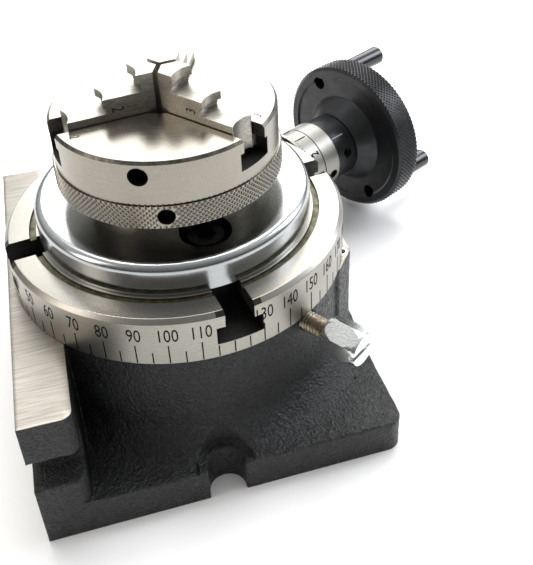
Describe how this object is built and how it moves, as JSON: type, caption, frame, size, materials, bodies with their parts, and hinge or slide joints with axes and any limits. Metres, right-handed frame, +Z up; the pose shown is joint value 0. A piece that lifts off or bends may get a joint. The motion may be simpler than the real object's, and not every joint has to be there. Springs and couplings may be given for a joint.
{
  "type": "rotary table",
  "caption": "Small horizontal and vertical rotary table with a worm drive, graduated rim and collar, handwheel, table clamp and a scroll chuck on an adapter plate.",
  "frame": {"origin": "the table's axis of rotation at the underside of the base", "axes": "+Z up along the table's axis, -X out of the upright mounting face, +Y towards the rear foot slot"},
  "size_m": [0.1697, 0.1564, 0.1087],
  "materials": {
    "painted_iron": "charcoal textured paint over cast iron, machined faces bare",
    "table_steel": "fine turned and ground",
    "turned_steel": "polished turned steel",
    "ground_steel": "soft ground steel",
    "bronze": "machined bronze",
    "black_oxide": "glossy black oxide",
    "satin_chrome": "satin chrome",
    "bright_zinc": "bright zinc plate",
    "screw_black": "black oxide screw"
  },
  "bodies": {
    "base": {"base_casting": "painted_iron", "upper_bush": "bronze", "lower_bush": "bronze", "worm_end_bush": "bronze", "worm_sleeve": "ground_steel", "sleeve_screws": "screw_black", "oil_cup": "bright_zinc", "oil_ball": "bright_zinc"},
    "table": {"rotary_table": "table_steel", "spindle": "ground_steel", "table_screws": "screw_black", "worm_wheel": "bronze", "thrust_washer": "bronze", "spindle_nut": "black_oxide", "nut_grub_screw": "screw_black", "adapter_plate": "turned_steel", "t_nuts": "bright_zinc", "plate_screws": "screw_black", "chuck_body": "ground_steel", "chuck_back_cover": "ground_steel", "cover_screws": "screw_black", "chuck_screws": "screw_black"},
    "scroll": {"scroll_ring": "ground_steel"},
    "jaw_one": {"jaw_1": "ground_steel"},
    "jaw_two": {"jaw_2": "ground_steel"},
    "jaw_three": {"jaw_3": "ground_steel"},
    "worm_drive": {"worm_shaft": "ground_steel", "worm": "ground_steel", "thrust_collar": "ground_steel", "index_ring": "black_oxide", "ring_grub_screw": "screw_black", "handwheel": "black_oxide", "wheel_key": "ground_steel", "wheel_washer": "bright_zinc", "wheel_nut": "bright_zinc", "crank_handle_1": "black_oxide", "crank_handle_2": "black_oxide"},
    "dial": {"graduated_collar": "satin_chrome", "collar_grub_screw": "screw_black"},
    "lock": {"lock_pad": "bronze"},
    "clamp": {"clamp_screw": "bright_zinc"}
  },
  "joints": [
    {"name": "table_turn", "type": "hinge", "parent": "base", "child": "table", "pos_m": [0, 0, 0.046], "axis": [0, 0, 1], "continuous": true},
    {"name": "worm_turn", "type": "hinge", "parent": "base", "child": "worm_drive", "pos_m": [-0.00986, 0.01854, 0.033], "axis": [0.8829, 0.4695, 0], "continuous": true},
    {"name": "dial_set", "type": "hinge", "parent": "worm_drive", "child": "dial", "pos_m": [-0.00986, 0.01854, 0.033], "axis": [0.8829, 0.4695, 0], "continuous": true},
    {"name": "scroll_turn", "type": "hinge", "parent": "table", "child": "scroll", "pos_m": [0, 0, 0.0808], "axis": [0, 0, 1], "range_deg": [0, 1260]},
    {"name": "jaw_one_slide", "type": "slide", "parent": "table", "child": "jaw_one", "axis": [0.3665, 0.9304, 0], "range_m": [0, 0.01401]},
    {"name": "jaw_two_slide", "type": "slide", "parent": "table", "child": "jaw_two", "axis": [-0.989, -0.1478, 0], "range_m": [0, 0.01401]},
    {"name": "jaw_three_slide", "type": "slide", "parent": "table", "child": "jaw_three", "axis": [0.6225, -0.7826, 0], "range_m": [0, 0.01401]},
    {"name": "pad_press", "type": "slide", "parent": "base", "child": "lock", "axis": [-0.5736, 0.8192, 0], "range_m": [0, 0.00035]},
    {"name": "clamp_turn", "type": "hinge", "parent": "lock", "child": "clamp", "pos_m": [0.02868, -0.04096, 0.0423], "axis": [-0.5736, 0.8192, 0], "range_deg": [0, 126]}
  ],
  "couplings": [
    {"joint": "worm_turn", "follows": "table_turn", "ratio": 36},
    {"joint": "jaw_one_slide", "follows": "scroll_turn", "m_per_rad": 0.00063662},
    {"joint": "jaw_two_slide", "follows": "scroll_turn", "m_per_rad": 0.00063662},
    {"joint": "jaw_three_slide", "follows": "scroll_turn", "m_per_rad": 0.00063662},
    {"joint": "clamp_turn", "follows": "pad_press", "rad_per_m": 6283.2}
  ]
}
